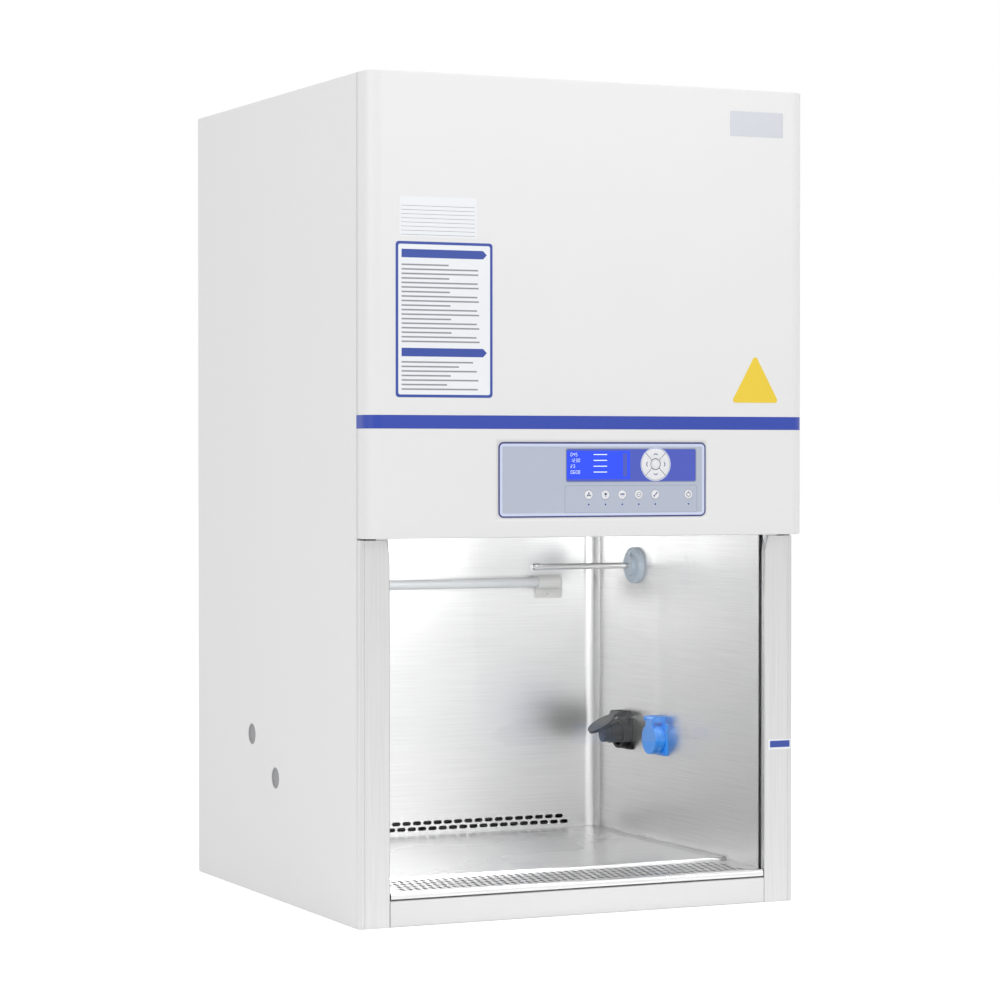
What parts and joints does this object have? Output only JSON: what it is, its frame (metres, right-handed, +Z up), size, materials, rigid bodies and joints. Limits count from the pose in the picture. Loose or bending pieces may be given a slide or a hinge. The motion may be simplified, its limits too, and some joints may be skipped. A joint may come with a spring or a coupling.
{
  "type": "biosafety cabinet",
  "caption": "Bench-top biosafety cabinet with a top-hinged cover, sliding glass window, slotted stainless work chamber, key panel, lamp, airflow probe and flap-covered outlets.",
  "frame": {"origin": "on the bench under the middle of the cabinet's overall box", "axes": "+X to the right seen from the front, +Y to the back, +Z up"},
  "size_m": [0.71, 0.73, 1.22],
  "materials": {
    "painted_shell": "fine satin powder coat",
    "stripe_blue": "satin",
    "panel_film": "matt printed film",
    "display_blue": "glossy",
    "key_plastic": "matt",
    "brushed_stainless": "brushed",
    "zinc_sheet": "zinc coated",
    "rail_aluminium": "anodised",
    "clear_glass": "clear",
    "tube_glass": "clear with a faint haze",
    "white_plastic": "matt",
    "grey_plastic": "matt",
    "black_plastic": "fine grained",
    "blue_plastic": "glossy",
    "probe_plastic": "matt",
    "filter_media": "paper-like pleats in a frame",
    "motor_paint": "satin",
    "belt_rubber": "matt",
    "steel_parts": "bright"
  },
  "bodies": {
    "cabinet": {"left_side_panel": "painted_shell", "right_side_panel": "painted_shell", "service_hole_plugs": "grey_plastic", "back_panel": "painted_shell", "power_inlet": "black_plastic", "top_panel": "painted_shell", "base_frame": "zinc_sheet", "base_front_panel": "painted_shell", "left_post": "brushed_stainless", "right_post": "brushed_stainless", "sash_rails": "rail_aluminium", "inner_left_wall": "brushed_stainless", "inner_right_wall": "brushed_stainless", "inner_back_wall": "brushed_stainless", "drain_pan": "brushed_stainless", "work_surface": "brushed_stainless", "front_grille": "brushed_stainless", "diffuser": "brushed_stainless", "supply_filter": "filter_media", "plenum_box": "zinc_sheet", "exhaust_filter": "filter_media", "blower_housing": "zinc_sheet", "blower_motor": "motor_paint", "control_box": "grey_plastic", "work_lamp": "white_plastic", "lamp_tube": "tube_glass", "lamp_holders": "white_plastic", "probe_flange": "probe_plastic", "probe_rod": "steel_parts", "black_socket": "black_plastic", "blue_socket": "blue_plastic", "socket_adapter": "black_plastic", "sash_belts": "belt_rubber", "drive_brackets": "steel_parts", "sash_gearmotor": "motor_paint", "cover_hinge": "steel_parts"},
    "cover": {"hood_shell": "painted_shell", "hood_stripe": "stripe_blue", "control_fascia": "panel_film", "display_window": "display_blue", "cover_hinge_leaf": "steel_parts"},
    "sash": {"sash_glass": "clear_glass", "sash_fittings": "black_plastic"},
    "drive": {"drive_shaft": "steel_parts"},
    "left_pulley": {"left_idler": "rail_aluminium"},
    "right_pulley": {"right_idler": "rail_aluminium"},
    "wheel": {"impeller": "zinc_sheet"},
    "black_flap": {"black_socket_lid": "black_plastic"},
    "blue_flap": {"blue_socket_lid": "blue_plastic"},
    "nav_up_button": {"nav_up_key": "key_plastic"},
    "nav_down_button": {"nav_down_key": "key_plastic"},
    "nav_left_button": {"nav_left_key": "key_plastic"},
    "nav_right_button": {"nav_right_key": "key_plastic"},
    "ok_button": {"ok_key": "key_plastic"},
    "fan_button": {"fan_key": "key_plastic"},
    "light_button": {"light_key": "key_plastic"},
    "lamp_button": {"lamp_key": "key_plastic"},
    "outlet_button": {"outlet_key": "key_plastic"},
    "tools_button": {"tools_key": "key_plastic"},
    "power_button": {"power_key": "key_plastic"}
  },
  "joints": [
    {"name": "sash_slide", "type": "slide", "parent": "cabinet", "child": "sash", "axis": [0, 0, 1], "range_m": [-0.2, 0.3]},
    {"name": "drive_shaft_spin", "type": "hinge", "parent": "cabinet", "child": "drive", "pos_m": [0, -0.2917, 1.165], "axis": [1, 0, 0], "range_deg": [-1085, 725]},
    {"name": "left_idler_spin", "type": "hinge", "parent": "cabinet", "child": "left_pulley", "pos_m": [-0.29, -0.2917, 0.59], "axis": [1, 0, 0], "range_deg": [-1085, 725]},
    {"name": "right_idler_spin", "type": "hinge", "parent": "cabinet", "child": "right_pulley", "pos_m": [0.29, -0.2917, 0.59], "axis": [1, 0, 0], "range_deg": [-1085, 725]},
    {"name": "hood_hinge", "type": "hinge", "parent": "cabinet", "child": "cover", "pos_m": [0, -0.317, 1.2175], "axis": [-1, 0, 0], "range_deg": [0, 75]},
    {"name": "impeller_spin", "type": "hinge", "parent": "cabinet", "child": "wheel", "pos_m": [0, 0.19, 0.9], "axis": [0, 1, 0], "continuous": true},
    {"name": "black_lid_hinge", "type": "hinge", "parent": "cabinet", "child": "black_flap", "pos_m": [0.287, 0.132, 0.252], "axis": [0, 1, 0], "range_deg": [0, 52.3]},
    {"name": "blue_lid_hinge", "type": "hinge", "parent": "cabinet", "child": "blue_flap", "pos_m": [0.287, 0.011, 0.252], "axis": [0, 1, 0], "range_deg": [0, 110]},
    {"name": "nav_up_press", "type": "slide", "parent": "cover", "child": "nav_up_button", "axis": [0, 1, 0], "range_m": [0, 0.0006], "stiffness_N_per_m": 2000, "springref_m": -0.0005},
    {"name": "nav_down_press", "type": "slide", "parent": "cover", "child": "nav_down_button", "axis": [0, 1, 0], "range_m": [0, 0.0006], "stiffness_N_per_m": 2000, "springref_m": -0.0005},
    {"name": "nav_left_press", "type": "slide", "parent": "cover", "child": "nav_left_button", "axis": [0, 1, 0], "range_m": [0, 0.0006], "stiffness_N_per_m": 2000, "springref_m": -0.0005},
    {"name": "nav_right_press", "type": "slide", "parent": "cover", "child": "nav_right_button", "axis": [0, 1, 0], "range_m": [0, 0.0006], "stiffness_N_per_m": 2000, "springref_m": -0.0005},
    {"name": "ok_press", "type": "slide", "parent": "cover", "child": "ok_button", "axis": [0, 1, 0], "range_m": [0, 0.0006], "stiffness_N_per_m": 2000, "springref_m": -0.0005},
    {"name": "fan_press", "type": "slide", "parent": "cover", "child": "fan_button", "axis": [0, 1, 0], "range_m": [0, 0.0006], "stiffness_N_per_m": 2000, "springref_m": -0.0005},
    {"name": "light_press", "type": "slide", "parent": "cover", "child": "light_button", "axis": [0, 1, 0], "range_m": [0, 0.0006], "stiffness_N_per_m": 2000, "springref_m": -0.0005},
    {"name": "lamp_press", "type": "slide", "parent": "cover", "child": "lamp_button", "axis": [0, 1, 0], "range_m": [0, 0.0006], "stiffness_N_per_m": 2000, "springref_m": -0.0005},
    {"name": "outlet_press", "type": "slide", "parent": "cover", "child": "outlet_button", "axis": [0, 1, 0], "range_m": [0, 0.0006], "stiffness_N_per_m": 2000, "springref_m": -0.0005},
    {"name": "tools_press", "type": "slide", "parent": "cover", "child": "tools_button", "axis": [0, 1, 0], "range_m": [0, 0.0006], "stiffness_N_per_m": 2000, "springref_m": -0.0005},
    {"name": "power_press", "type": "slide", "parent": "cover", "child": "power_button", "axis": [0, 1, 0], "range_m": [0, 0.0006], "stiffness_N_per_m": 2000, "springref_m": -0.0005}
  ],
  "couplings": [
    {"joint": "drive_shaft_spin", "follows": "sash_slide", "rad_per_m": -62.5},
    {"joint": "left_idler_spin", "follows": "sash_slide", "rad_per_m": -62.5},
    {"joint": "right_idler_spin", "follows": "sash_slide", "rad_per_m": -62.5}
  ]
}
